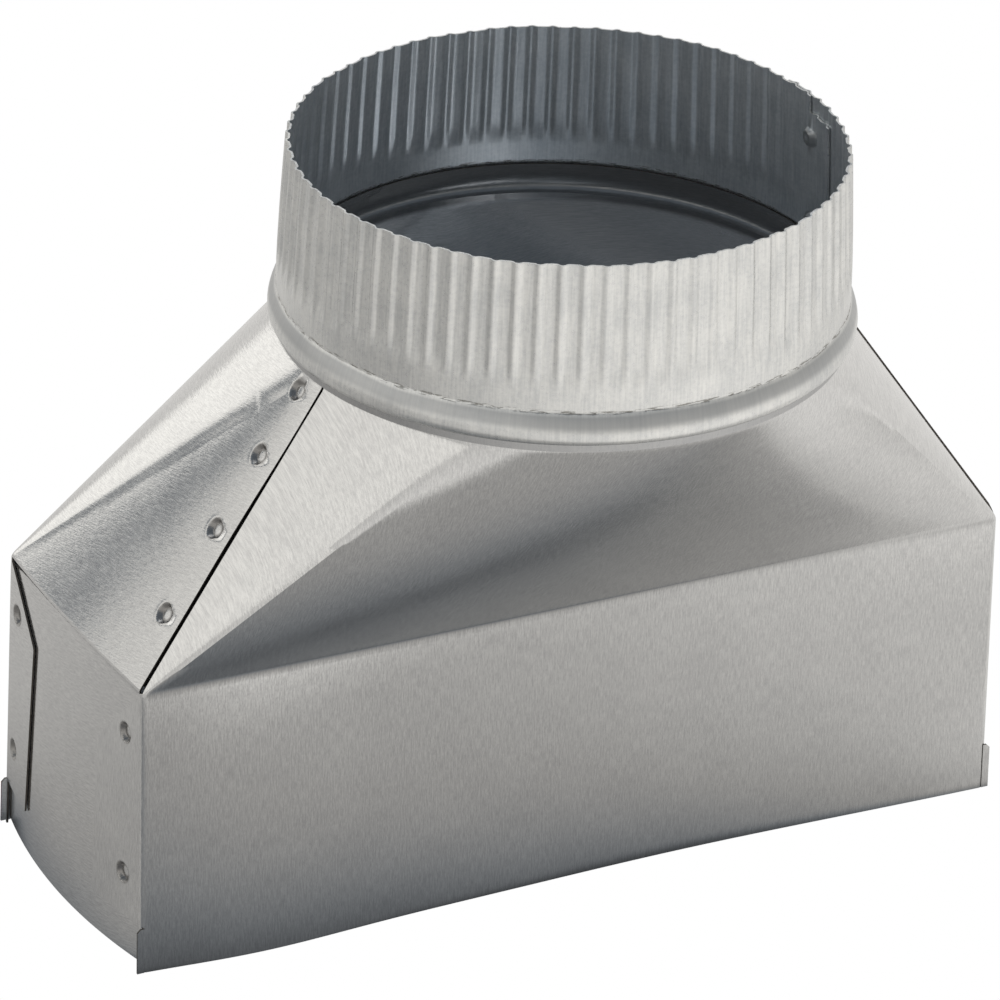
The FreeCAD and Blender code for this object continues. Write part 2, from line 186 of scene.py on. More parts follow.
def skin(z, s, inset):
    """Point of the sheet's skin; the bends at the fold and at the neck's root are rounded."""
    mouth, fold, neck = ruling(s, inset)
    out = []
    for low, middle, high in zip(mouth, fold, neck):
        below = (middle - low) / FOLD
        above = (high - middle) / (ROOT - FOLD)
        if z < ROOT - BEND:
            run = z - FOLD
            if run < -BEND:
                value = middle + below * run
            elif run > BEND:
                value = middle + above * run
            else:
                value = middle + below * run + (above - below) * (run + BEND) ** 2 / (4 * BEND)
        elif z < ROOT + BEND:
            run = z - ROOT
            value = high + above * run - above * (run + BEND) ** 2 / (4 * BEND)
        else:
            value = high
        out.append(value)
    if z > BEAD_LOW:
        proud = bead(z)
        away = Vector((out[0] - AXIS_X, out[1] - AXIS_Y))
        away.normalize()
        out = [out[0] + away.x * proud, out[1] + away.y * proud]
    return Vector((out[0], out[1], z))


def front_y(z):
    """Outside of the front wall; the back wall mirrors it."""
    return -HALF_Y - FLARE * (1 - z / FOLD)


def seam_y(z):
    """Where the front panel ends along a seam."""
    at_neck = AXIS_Y - NECK * math.sin(math.radians(SEAM_ANGLE))
    at_fold = -HALF_Y + SEAM_GAP_NECK
    return mix(at_fold, at_neck, min(max((z - FOLD) / (ROOT - FOLD), 0), 1))


def back_edge(z):
    """Edge of the back wrap along a seam, a little uneven."""
    share = min(max((z - FOLD) / (ROOT - FOLD), 0), 1)
    gap = mix(SEAM_GAP_FOLD, SEAM_GAP_NECK, share) + 0.3 * math.sin(share * 10 - 3.2) * share
    gap += 1.3 * share * (1 - share)
    return seam_y(z) + gap


def place(z, y, low, high, inset=0.0):
    """The s between low and high where the skin at a height has a given y."""
    rising = skin(z, high, inset).y > skin(z, low, inset).y
    for step in range(24):
        middle = (low + high) / 2
        if (skin(z, middle, inset).y < y) == rising:
            low = middle
        else:
            high = middle
    return (low + high) / 2


# Clinches: (middle on the skin, outward normal)

def surface_normal(z, s):
    """Outward normal of the skin."""
    across = skin(z, s + 0.002, 0) - skin(z, s - 0.002, 0)
    up = skin(z + 0.2, s, 0) - skin(z - 0.2, s, 0)
    return across.cross(up).normalized()


def clinches():
    """Middles of the punch marks: four up each seam, two on each corner flange."""
    marks = []
    for side in (-1, 1):
        low = Vector((side * HALF_X, seam_y(FOLD), FOLD))
        high = Vector((AXIS_X + side * NECK, seam_y(ROOT), ROOT))
        up = (high - low).normalized()
        for run in SEAM_RUNS:
            point = low + up * run + Vector((0, SEAM_CLINCH, 0))
            s = place(point.z, point.y, *SEAM_MARK_SEARCH[side])
            marks.append((skin(point.z, s, 0), surface_normal(point.z, s)))
        for z in FLANGE_MARKS:
            for y in (front_y(z) + FRONT_CLINCH, -front_y(z) - BACK_CLINCH):
                s = place(z, y, *FLANGE_MARK_SEARCH[side])
                marks.append((skin(z, s, 0), surface_normal(z, s)))
    return marks


MARKS = clinches()


def pit_shade_mask(point, marks):
    """Mask of the painted shade in a clinch: 1 on its wall and in its ring, 0 on the sheet round it."""
    for middle, _ in marks:
        r = (point - middle).length
        if r < CLINCH_R * 1.2:
            return smooth(0.35, 0.6, r / CLINCH_R) * (1 - smooth(0.95, 1.15, r / CLINCH_R))
    return 0.0


def pressed(point, marks):
    """Moves a point inwards where a clinch is pressed: a steep rim, a floor and a low button."""
    for middle, normal in marks:
        away = point - middle
        if away.length > CLINCH_R * 1.8:
            continue
        flat = away - normal * away.dot(normal)
        r = flat.length
        depth = CLINCH_DEPTH * (1 - smooth(CLINCH_R * 0.66, CLINCH_R * 1.0, r))
        button = CLINCH_BUTTON * (1 - smooth(CLINCH_R * 0.42, CLINCH_R * 0.56, r))
        rim = CLINCH_RIM * smooth(CLINCH_R * 0.9, CLINCH_R * 1.1, r)
        rim *= 1 - smooth(CLINCH_R * 1.1, CLINCH_R * 1.5, r)
        point = point - normal * (depth - button - rim)
    return point


# Sheets: grids of outer and inner points that share their edges

class Sheet:
    """A folded sheet: grids of points with a skin on both sides and a raw edge all round.

    inside and rim are the material slots of the inner skin and of the raw edge."""

    def __init__(self, name, inside, rim):
        self.name = name
        self.inside = inside
        self.rim = rim
        self.index = {}
        self.outer = []
        self.inner = []
        self.uv = []
        self.pit_shades = []
        self.quads = []
        self.kinds = []

    def vertex(self, outer, inner, uv, pit_shade=0.0):
        """Number of a point, the same for grids that meet there; the last argument is its share of a
        clinch's painted shade.
        """
        key = (round(outer.x, 3), round(outer.y, 3), round(outer.z, 3))
        if key not in self.index:
            self.index[key] = len(self.outer)
            self.outer.append(outer)
            self.inner.append(inner)
            self.uv.append(uv)
            self.pit_shades.append(pit_shade)
        return self.index[key]

    def grid(self, rows, columns, point, closed=False, kind=0, keep=None):
        """Adds quads in material slot kind.

        point(row, column) gives what vertex() takes; keep(row, column) may leave a quad out."""
        table = [[self.vertex(*point(row, column)) for column in columns] for row in rows]
        for row, low, high in zip(rows, table, table[1:]):
            count = len(low)
            for k in range(count if closed else count - 1):
                quad = (low[k], low[(k + 1) % count], high[(k + 1) % count], high[k])
                if len(set(quad)) > 2 and (keep is None or keep(row, columns[k])):
                    self.quads.append(tuple(dict.fromkeys(quad)))
                    self.kinds.append(kind)

    def build(self):
        """Makes the object, with both skins and the raw edges between them."""
        total = len(self.outer)
        faces = list(self.quads)
        faces += [tuple(v + total for v in reversed(face)) for face in self.quads]
        kinds = self.kinds + [self.inside] * len(self.quads)
        sides = dict.fromkeys((a, b) for face in self.quads for a, b in zip(face, face[1:] + face[:1]))
        for a, b in sides:
            if (b, a) not in sides:
                faces.append((b, a, a + total, b + total))
                kinds.append(self.rim)
        mesh = bpy.data.meshes.new(self.name)
        points = [tuple(c * MM for c in p) for p in self.outer + self.inner]
        mesh.from_pydata(points, [], faces)
        layer = mesh.uv_layers.new(name="sheet")
        for loop in mesh.loops:
            u, v = self.uv[loop.vertex_index % total]
            layer.data[loop.index].uv = (u * MM, v * MM)
        mesh.polygons.foreach_set("material_index", kinds)
        # The share of the clinches' painted shade goes to the materials as a point attribute.
        pit_shade = mesh.attributes.new("pit_shade_mask", "FLOAT", "POINT")
        pit_shade.data.foreach_set("value", self.pit_shades * 2)
        mesh.validate()
        ob = bpy.data.objects.new(self.name, mesh)
        bpy.context.collection.objects.link(ob)
        bpy.ops.object.select_all(action="DESELECT")
        ob.select_set(True)
        bpy.context.view_layer.objects.active = ob
        bpy.ops.object.shade_smooth_by_angle(angle=SMOOTH_ANGLE)
        return ob


def graded(start, stop, coarse, fine, spots, reach):
    """Stops from start to stop: coarse steps, and fine ones within reach of each spot."""
    stops = [start]
    while stops[-1] < stop - 1e-6:
        here = stops[-1]
        near = min([abs(here - spot) for spot in spots] + [1e9])
        step = fine if near < reach else min(coarse, max(near - reach, fine))
        stops.append(min(here + step, stop))
    if len(stops) > 2 and stops[-1] - stops[-2] < fine / 2:
        stops.pop(-2)
    return stops


# Each height of a seam's clinches once, although both seams have it
SEAM_MARKS = sorted(m.z for m, n in MARKS if m.z > FOLD)[::2]
FOLD_ROWS = [FOLD - 2.2, FOLD - BEND, FOLD - 0.55, FOLD, FOLD + 0.55, FOLD + BEND, FOLD + 2.2]
NECK_ROWS = [ROOT - BEND, ROOT - 0.4, ROOT + 0.4, ROOT + BEND, 167.0, BEAD_LOW, 167.9, 168.4, 169.0,
             169.8, 170.6, 171.6, 172.6, 173.6, 174.6, 175.4, NECK_TOP]


def wall_rows(low, fine_marks):
    """Heights from low to the top of the neck, close together at clinches and bends."""
    rows = graded(low, FOLD - 4, 4.0, FINE, [m for m in fine_marks if m < FOLD], CLINCH_REACH)
    rows += FOLD_ROWS
    rows += graded(FOLD + 4, ROOT - 2.5, 2.5, FINE, [m for m in fine_marks if m > FOLD], CLINCH_REACH)
    return rows + NECK_ROWS


def unrolled(point):
    """Position on the flat blank, roughly: round the box, and up the wall."""
    x, y, z = point
    up = z if z < FOLD else FOLD + (z - FOLD) * SLOPE_STRETCH
    return x, y, up


def two_sided(z, s, inset, marks, turn):
    """What Sheet.vertex() takes, for a place on the skin; turn unfolds it to the flat blank."""
    outer = skin(z, s, inset)
    inner = skin(z, s, inset + GAUGE)
    x, y, up = unrolled(outer)
    return pressed(outer, marks), pressed(inner, marks), (turn(x, y, z), up), pit_shade_mask(outer, marks)


def add_lip(sheet, side, face):
    """A lip at a corner of the mouth; face is 1 on the front panel and -1 on the back wrap."""
    def lip(z, out):
        reach = out * (LIP_OUT if z < LIP_HEIGHT - 0.1 else 0.0)
        x = side * (HALF_X - 2 * GAUGE + (2 * GAUGE + reach) * out)
        outer = Vector((x, face * front_y(z), z))
        return outer, outer + Vector((0, face * GAUGE, 0)), (outer.x, z)

    heights = (0.0, LIP_HEIGHT - LIP_OUT, LIP_HEIGHT)
    sheet.grid(heights, (0.0, 1.0) if side * face > 0 else (1.0, 0.0), lip)


# Front panel

def front_turn(x, y, z):
    """How far across the flat blank of the front panel a point lies."""
    if z >= FOLD:
        return x
    over = max(y - front_y(z), 0)
    return x + math.copysign(over, x)


def front_sheet():
    """Front wall and slope with the flanges, the tucks under the seams and the lips."""
    sheet = Sheet("front_panel_sheet", inside=2, rim=3)
    rows = wall_rows(0.0, ())
    across = ([("seam_left", k / 12) for k in range(12)] + [("front", k / 72) for k in range(73)]
              + [("seam_right", k / 12) for k in range(11, -1, -1)])
    cache = {}

    def ends(z):
        if z not in cache:
            y = front_y(z) + CORNER + LAP_GAP if z < FOLD else seam_y(z)
            cache[z] = [place(z, y, *FRONT_EDGE_SEARCH[side]) for side in (-1, 1)]
        return cache[z]

    def wall(z, column):
        kind, share = column
        left, right = ends(z)
        s = share
        if kind == "seam_left":
            s = mix(left, 0, share)
        elif kind == "seam_right":
            s = mix(right, 1, share)
        return two_sided(z, s, 0, (), front_turn)

    sheet.grid(rows, across, wall)

    for side in (-1, 1):
        flange_rows = graded(FLANGE_LOW, FLANGE_TOP, 4.0, FINE, FLANGE_MARKS, CLINCH_REACH)
        columns = graded(CORNER + LAP_GAP, FRONT_FLANGE, 2.5, FINE, (FRONT_CLINCH,), CLINCH_REACH)
        marks = [(m, n) for m, n in MARKS if m.x * side > 0 and m.y < 0 and m.z < FOLD]

        def flange(z, out, side=side, marks=marks):
            width = min(out, CORNER + LAP_GAP + max(FLANGE_TOP - z, 0))
            bend = out == CORNER + LAP_GAP
            s = place(z, front_y(z) + width, *(FRONT_EDGE_SEARCH if bend else FLANGE_SEARCH)[side])
            return two_sided(z, s, 0, marks, front_turn)

        sheet.grid(flange_rows, columns if side > 0 else columns[::-1], flange)

        tuck_rows = graded(FOLD + 1.3, ROOT - 0.6, 2.5, FINE, SEAM_MARKS, CLINCH_REACH)
        tuck_columns = [0.0, TUCK_JOGGLE]
        tuck_columns += graded(2 * TUCK_JOGGLE, TUCK, 2.5, FINE, (SEAM_CLINCH,), CLINCH_REACH)
        marks = [(m, n) for m, n in MARKS if m.x * side > 0 and m.z > FOLD]

        def tuck(z, out, side=side, marks=marks):
            taper = min((z - FOLD) / 12, (ROOT - z) / 12, 1.0)
            y = seam_y(z) + out * mix(0.1, 1.0, taper)
            inset = LAYER * smooth(0, TUCK_JOGGLE, out)
            s = place(z, y, *END_SEARCH[side])
            if side < 0:
                s -= 8
            return two_sided(z, s, inset, marks, front_turn)

        # The tucks take slot 1: painted near black as the shadow in the seam's gap.
        sheet.grid(tuck_rows, tuck_columns if side > 0 else tuck_columns[::-1], tuck, kind=1)
        add_lip(sheet, side, 1)
    return sheet.build()


# Back wrap: back face, both ends and their slopes

def back_turn(x, y, z):
    """How far along the flat blank of the back wrap a point lies."""
    over = max(HALF_Y + FLARE * (1 - min(z, FOLD) / FOLD) - CORNER, 0)
    if y > over and abs(x) < HALF_X - CORNER:
        return y + (HALF_X - abs(x))
    return y


def back_sheet():
    """Back wall and slope, both ends and their slopes, the flanges and the lips."""
    sheet = Sheet("back_wrap_sheet", inside=2, rim=3)
    rows = wall_rows(HEM, (*FLANGE_MARKS, *SEAM_MARKS))
    for side in (-1, 1):
        steps = graded(0.0, NEAR_WIDTH, 2.0, FINE, (SEAM_CLINCH,), CLINCH_REACH)
        near = [("near", step) for step in steps]
        rest = [("rest", k / 34) for k in range(1, 35)]
        marks = [(m, n) for m, n in MARKS if m.x * side > 0]
        cache = {}

        def edge(z, side=side, cache=cache):
            if z not in cache:
                y = front_y(z) + CORNER - LAP_GAP if z < FOLD - 1.0 else back_edge(max(z, FOLD))
                cache[z] = y, place(z, y + NEAR_WIDTH, *END_SEARCH[side])
            return cache[z]

        def end(z, column, side=side, marks=marks):
            kind, value = column
            y, far = edge(z)
            inset = LAYER * (1 - smooth(FOLD - 1.2, FOLD - 0.1, z))
            if kind == "near":
                if side > 0:
                    rise = smooth(FOLD, FOLD + 4, z) * (1 - smooth(ROOT - 8, ROOT - 2, z))
                    inset -= EDGE_LIFT * (1 - smooth(0, 4, value)) * rise
                s = place(z, y + value, *END_SEARCH[side], inset)
            else:
                s = mix(far, 5.5 if side < 0 else 3.5, value)
            return two_sided(z, s, inset, marks, back_turn)

        columns = near + rest
        sheet.grid(rows, columns if side > 0 else columns[::-1], end)

    corner = 16
    arcs = ([3.5 + 0.5 * k / corner for k in range(corner)] + [4 + k / 10 for k in range(10)]
            + [5 + 0.5 * k / corner for k in range(corner + 1)])

    def slope(z, s):
        return two_sided(z, s, 0, (), back_turn)

    sheet.grid([z for z in rows if z >= FOLD - 0.01], arcs, slope)
    cache = {}

    def back(z, share):
        if z not in cache:
            y = -front_y(z) - CORNER - LAP_GAP
            cache[z] = (place(z, y, 2.5, 3.4), place(z, y, 5.6, 6.5))
        right, left = cache[z]
        kind, value = share
        s = value
        if kind == "right":
            s = mix(right, 4.0, value)
        elif kind == "left":
            s = mix(5.0, left, value)
        return two_sided(z, s, 0, (), back_turn)

    face = ([("right", k / 8) for k in range(8)] + [("back", 4 + k / 10) for k in range(10)]
            + [("left", k / 8) for k in range(9)])
    sheet.grid(graded(0.0, FOLD, 4.0, FINE, (), CLINCH_REACH), face, back)

    for side in (-1, 1):
        flange_rows = graded(FLANGE_LOW, FLANGE_TOP, 4.0, FINE, FLANGE_MARKS, CLINCH_REACH)
        columns = graded(CORNER + LAP_GAP, BACK_FLANGE, 2.5, FINE, (BACK_CLINCH,), CLINCH_REACH)
        marks = [(m, n) for m, n in MARKS if m.x * side > 0 and m.y > 0 and m.z < FOLD]

        def flange(z, out, side=side, marks=marks):
            width = min(out, CORNER + LAP_GAP + max(FLANGE_TOP - z, 0))
            s = place(z, -front_y(z) - width, *FLANGE_SEARCH[side])
            return two_sided(z, s, 0, marks, back_turn)

        sheet.grid(flange_rows, columns[::-1] if side > 0 else columns, flange)
        add_lip(sheet, side, -1)
    return sheet.build()


# Collar; a mark counts ridges round it

PITCH = 360.0 / CRIMPS
LAP_START = -1.5
LAP_END = 2.5
JOGGLE = 1.5
NOTCH = RIM - 4.7
LAP_TURN = math.radians(CRIMP_PHASE + 0.5 * PITCH)
# Clinches of the lap: height, and how far the crimps have drawn the wall in there
LAP_MARKS = ((206.0, 0.4), (180.2, 0.0))


def crimp(mark, z):
    """How far the crimped wall lies inside the plain one: narrow ridges, wide flats."""
    depth = CRIMP_DEPTH * smooth(CRIMP_LOW - 1.0, CRIMP_LOW + CRIMP_RUN, z)
    across = abs(mark - round(mark))
    wobble = 1 + 0.25 * noise.noise(Vector((round(mark) * 1.7, 0.3, 0.0)))
    return depth * wobble * smooth(0.04, 0.26, across)


def collar_wall(z, mark, extra):
    """Point of the collar, extra inside its outer skin; the rim is slightly uneven."""
    taper = RIM_TAPER * max((z - CRIMP_LOW) / (RIM - CRIMP_LOW), 0) ** 1.3
    radius = PLAIN - taper - crimp(mark, z) - extra
    if z < SHOULDER:
        radius += bead(z)
    turn = math.radians(CRIMP_PHASE + mark * PITCH)
    lift = 0.0
    if z > RIM - 0.3:
        lift = 0.35 * noise.noise(Vector((math.cos(turn) * 6, math.sin(turn) * 6, 1.0)))
    return Vector((AXIS_X + radius * math.cos(turn), AXIS_Y + radius * math.sin(turn), z + lift))


def collar_sheet():
    """Beaded ring, and above it the crimped strip whose ends lap."""
    sheet = Sheet("collar_sheet", inside=1, rim=0)
    per_pitch = 10
    low_rows = [SKIRT_LOW, 166.2, 167.0, BEAD_LOW, 167.75, 168.0, 168.4, 168.9, 169.5, 170.1, 170.6,
                171.2, 171.9, 172.7, 173.6, 174.5, 175.4, 176.1, 176.6, SHOULDER, 177.3]
    high_rows = ([177.3 + 0.55 * k for k in range(12)] + [184.4, 185.6, 187.0, 188.4, 190.0, 195.0, 200.0]
                 + [203.2 + 0.56 * k for k in range(11)] + [NOTCH, 216.0, 217.6, RIM])
    outward = Vector((math.cos(LAP_TURN), math.sin(LAP_TURN), 0))
    marks = [(Vector((AXIS_X, AXIS_Y, z)) + outward * (PLAIN - LAYER - drawn), outward)
             for z, drawn in LAP_MARKS]

    def around(mark):
        return mark * PITCH * PLAIN * math.pi / 180

    def plain(z, mark):
        return collar_wall(z, mark, 0), collar_wall(z, mark, GAUGE), (around(mark), z)

    sheet.grid(low_rows, [k / per_pitch for k in range(CRIMPS * per_pitch)], plain, closed=True)

    def lapped(z, mark):
        step = LAYER * min(max((LAP_END + JOGGLE - mark) / JOGGLE, 0.0), 1.0)
        outer = collar_wall(z, mark, step)
        inner = collar_wall(z, mark, step + GAUGE)
        return pressed(outer, marks), pressed(inner, marks), (around(mark), z), pit_shade_mask(outer, marks)

    first = int(LAP_START * per_pitch)
    last = int((CRIMPS + LAP_END) * per_pitch)
    sheet.grid(high_rows, [k / per_pitch for k in range(first, last + 1)], lapped,
               keep=lambda z, mark: mark > 0.49 or z < NOTCH - 0.1)
    return sheet.build()


# Materials

class Value:
    """A shader value that plain Python arithmetic turns into Math nodes."""

    def __init__(self, material, source):
        self.material = material
        self.source = source

    def combine(self, operation, other, swap=False):
        a, b = (other, self) if swap else (self, other)
        return self.material.node("ShaderNodeMath", {"operation": operation}, {0: a, 1: b})

    def __add__(self, other): return self.combine("ADD", other)
    def __radd__(self, other): return self.combine("ADD", other, True)
    def __sub__(self, other): return self.combine("SUBTRACT", other)
    def __rsub__(self, other): return self.combine("SUBTRACT", other, True)
    def __mul__(self, other): return self.combine("MULTIPLY", other)
    def __rmul__(self, other): return self.combine("MULTIPLY", other, True)
    def __truediv__(self, other): return self.combine("DIVIDE", other)
    def __rtruediv__(self, other): return self.combine("DIVIDE", other, True)
    def __pow__(self, other): return self.combine("POWER", other)
    def at_least(self, other): return self.combine("MAXIMUM", other)
    def __abs__(self): return self.material.node("ShaderNodeMath", {"operation": "ABSOLUTE"}, {0: self})


class Shading:
    """Node tree of a new material, or of a new world."""

    def __init__(self, name, kind=bpy.data.materials):
        self.data = kind.new(name)
        self.data.use_nodes = True
        self.tree = self.data.node_tree
        self.tree.nodes.clear()

    def node(self, kind, settings=None, inputs=None, output=0):
        made = self.tree.nodes.new(kind)
        for key, value in (settings or {}).items():
            setattr(made, key, value)
        for key, value in (inputs or {}).items():
            if isinstance(value, Value):
                self.tree.links.new(value.source, made.inputs[key])
            else:
                made.inputs[key].default_value = value
        return Value(self, made.outputs[output])

    def part(self, vector, axis):
        """X, Y or Z of a vector, as 0, 1 or 2."""
        return self.node("ShaderNodeSeparateXYZ", {}, {0: vector}, output=axis)

    def stretched(self, vector, scale):
        return self.node("ShaderNodeMapping", {}, {"Vector": vector, "Scale": scale})

    def ramp(self, value, low, high, start=0.0, end=1.0):
        return self.node("ShaderNodeMapRange", {"interpolation_type": "SMOOTHSTEP"},
                         {"Value": value, "From Min": low, "From Max": high,
                          "To Min": start, "To Max": end})

    def colour(self, factor, a, b):
        return self.node("ShaderNodeMix", {"data_type": "RGBA"},
                         {0: factor, 6: (*a, 1), 7: (*b, 1)}, output=2)

    def tint(self, factor, base, b):
        return self.node("ShaderNodeMix", {"data_type": "RGBA"},
                         {0: factor, 6: base, 7: (*b, 1)}, output=2)

    def noise(self, vector, scale, detail=2.0, rough=0.5):
        return self.node("ShaderNodeTexNoise", {}, {"Vector": vector, "Scale": scale,
                                                    "Detail": detail, "Roughness": rough})

    def seen_white(self, camera_ray, kind, tone, bright):
        """The painted tone in reflections, and plain white where the camera looks at it."""
        tone = self.node("ShaderNodeVectorMath", {"operation": "SCALE"}, {0: tone, "Scale": bright})
        painted = self.node(kind, {}, {"Color": tone, "Strength": 1.0})
        white = self.node(kind, {}, {"Color": (1, 1, 1, 1), "Strength": 1.0})
        return self.node("ShaderNodeMixShader", {}, {0: camera_ray, 1: painted, 2: white})

    def finish(self, shader, kind="ShaderNodeOutputMaterial"):
        out = self.tree.nodes.new(kind)
        self.tree.links.new(shader.source, out.inputs["Surface"])
        return self.data


def galvanized(name, turn, base, dark, rough, stroke_depth, mottle, metal=1.0):
    """Zinc-coated sheet: short rolled strokes along one way of the blank; painted shade darkens the
    clinches, which are rougher too, and the neck above its root.
    """
    m = Shading(name)
    uv = m.node("ShaderNodeUVMap", {"uv_map": "sheet"})
    turned = m.node("ShaderNodeMapping", {}, {"Vector": uv, "Rotation": (0, 0, turn)})
    strokes = m.stretched(turned, (2400, 260, 1))
    fine = m.stretched(turned, (4200, 900, 1))
    streak = m.noise(strokes, 1.0, 1.0)
    grain = m.noise(fine, 1.0, 1.0)
    cloud = m.noise(uv, 60.0, 3.0)
    pit_shade = m.node("ShaderNodeAttribute", {"attribute_name": "pit_shade_mask"}, output=2)
    shade = cloud * 0.15 + streak * 0.5 + grain * 0.35
    height = m.part(m.node("ShaderNodeTexCoord", output=3), 2)
    # Painted shade: above the root of the neck the sheet is darkened nearly to black, for the shade
    # inside the collar.
    neck = m.ramp(height, 0.1648, 0.1665)
    # Painted shade: the walls and rings of the clinches are darkened towards brown-grey.
    tone = m.tint(pit_shade * 0.8, m.colour(m.ramp(shade, 0.3, 0.7), dark, base), (0.2, 0.19, 0.18))
    tone = m.tint(neck * 0.75, tone, (0.08, 0.08, 0.08))
    bump = m.node("ShaderNodeBump", {}, {"Strength": 1.0, "Distance": stroke_depth * MM,
                                         "Height": streak * 0.65 + grain * 0.35})
    roughness = rough + (cloud - 0.5) * 0.04 + (streak - 0.5) * mottle + pit_shade * 0.2
    shader = m.node("ShaderNodeBsdfPrincipled", {}, {
        "Base Color": tone, "Metallic": metal, "Roughness": roughness, "Normal": bump})
    return m.finish(shader)


def dark_zinc(name, dark, base):
    """Dark dull zinc with a trace of stroke: for bare edges, kept dark enough to stand in for the shade
    in the gaps beside them too, and for the flange in a seam's gap, painted near black as its shadow.
    """
    m = Shading(name)
    uv = m.node("ShaderNodeUVMap", {"uv_map": "sheet"})
    tone = m.colour(m.noise(uv, 900.0), dark, base)
    shader = m.node("ShaderNodeBsdfPrincipled", {}, {
        "Base Color": tone, "Metallic": 1.0, "Roughness": m.noise(uv, 400.0) * 0.2 + 0.5})
    return m.finish(shader)


def dull_zinc(name, dark, base, rough, metal):
    """The collar's skin: worked, matt and mottled, scuffed where the bead was rolled; painted shade
    darkens the bead's upper slope, the skirt under the bead and the lap clinches.
    """
    m = Shading(name)
    uv = m.node("ShaderNodeUVMap", {"uv_map": "sheet"})
    height = m.part(uv, 1)
    mottle = m.noise(uv, 800.0, 3.0, 0.6)
    cloud = m.noise(uv, 90.0, 3.0)
    streak = m.noise(m.stretched(uv, (1500, 90, 1)), 1.0, 2.0)
    dash = m.noise(m.stretched(uv, (260, 1900, 1)), 1.0, 3.0, 0.7)
    wander = m.noise(m.stretched(uv, (40, 0, 1)), 1.0, 1.0)
    line = height + (wander - 0.5) * 0.0016
    edge = m.ramp(line, 0.1762, 0.1767) * m.ramp(line, 0.1771, 0.1777, 1, 0) * m.ramp(dash, 0.5, 0.58)
    painted_bead_band = m.ramp(line, 0.1715, 0.1735) * m.ramp(line, 0.1755, 0.1765, 1, 0)
    low = m.ramp(height, 0.1685, 0.1672)
    pit_shade = m.node("ShaderNodeAttribute", {"attribute_name": "pit_shade_mask"}, output=2)
    shade = mottle * 0.35 + cloud * 0.3 + streak * 0.35
    tone = m.colour(m.ramp(shade, 0.33, 0.67), dark, base)
    # Painted shade: a darker ring of reflection round the bead's upper slope, which is rougher there too.
    tone = m.tint(painted_bead_band * (0.45 + mottle * 0.3), tone, (0.34, 0.35, 0.36))
    tone = m.tint(edge * 0.75, tone, (0.14, 0.13, 0.11))
    # Painted shade under the bead: its underside and the skirt below it are darkened.
    tone = m.tint(low * 0.6, tone, (0.25, 0.25, 0.26))
    # Painted shade: the lap clinches of the collar are darkened.
    tone = m.tint(pit_shade * 0.7, tone, (0.2, 0.2, 0.2))
    bump = m.node("ShaderNodeBump", {}, {"Strength": 1.0, "Distance": 0.03 * MM,
                                         "Height": streak * 0.6 + cloud * 0.4 - edge * 0.6})
    roughness = rough + (mottle - 0.5) * 0.2 + painted_bead_band * 0.06
    shader = m.node("ShaderNodeBsdfPrincipled", {}, {
        "Base Color": tone, "Metallic": metal, "Roughness": roughness, "Normal": bump})
    return m.finish(shader)


def floor_painted_light():
    """Floor seen as pure white by the camera; in reflections it glows as painted light, brighter to the
    right and before the object, with painted shade round and under the object and a painted shadow before
    it.
    """
    m = Shading("floor_painted_light")
    camera_ray = m.node("ShaderNodeLightPath")
    spot = m.node("ShaderNodeTexCoord", output=3)
    x = m.part(spot, 0)
    y = m.part(spot, 1)
    past_end = (abs(x) - HALF_X * MM).at_least(0)
    past_face = (abs(y) - HALF_Y * MM).at_least(0)
    away = (past_end * past_end + past_face * past_face) ** 0.5
    reach = (x * x + y * y) ** 0.5 + 0.001
    right = x / reach
    ahead = y / reach
    # Painted light: the floor glows brighter to the right and before the object.
    far = 0.6 + right * 0.17 + (ahead * -1).at_least(0) * 0.35 + ahead.at_least(0) * 0.1
    near = m.ramp(y, -0.05, -0.04, 1, 0)
    before = near + (m.ramp(y, -0.12, -0.05, 1, 0) - near) * m.ramp(x, 0.1, 0.18)
    # Painted shadow thrown before the object, stronger at its left.
    painted_cast_shadow = before * m.ramp(x, 0.0, 0.2, 0.52, 0.3) * m.ramp(away, 0.14, 0.21, 1, 0)
    depth = m.ramp(x, 0, 0.14, 0.66, 0.3) * m.ramp(x, -0.16, -0.118, 0.45, 1)
    # Painted shade round the object's base, fading with distance from it.
    painted_foot_shade = m.node("ShaderNodeMath", {"operation": "EXPONENT"}, {0: away * -22}) * depth
    # Painted shade under the object.
    under = m.ramp(away, 0.0, 0.006, 0.75, 0.0)
    bright = far * (1 - painted_cast_shadow) * (1 - painted_foot_shade) * (1 - under)
    # The painted light turns bluer where it is dim.
    tone = m.colour(m.ramp(bright, 0.12, 0.4), (0.94, 1.0, 1.07), (1.02, 1.0, 0.97))
    return m.finish(m.seen_white(camera_ray, "ShaderNodeEmission", tone, bright))


def studio():
    """Bright panels at the left and the back, a dim room before the object and overhead."""
    m = Shading("studio", bpy.data.worlds)
    camera_ray = m.node("ShaderNodeLightPath")
    way = m.node("ShaderNodeTexCoord", output=0)
    x, y, z = (m.part(way, axis) for axis in range(3))
    left = m.ramp(x, -0.85, -0.35, 0.93, 0.6)
    panel = left + (1.15 - left) * m.ramp(y, 0.83, 0.855)
    post = m.ramp(y, 0.785, 0.81) * m.ramp(y, 0.825, 0.845, 1, 0) * m.ramp(x, -0.3, -0.2, 1, 0)
    low = m.ramp(z, 0.35, 0.6, 1, 0)
    glow = panel * (1 - post * 0.85) * low + (1 - low) * 0.26
    tone = m.colour(m.ramp(glow, 0.25, 0.6), (0.84, 0.97, 1.12), (1.02, 1.0, 0.96))
    return m.finish(m.seen_white(camera_ray, "ShaderNodeBackground", tone, glow), "ShaderNodeOutputWorld")


BACK_TURN = math.radians(-80)
front = front_sheet()
back = back_sheet()
collar = collar_sheet()

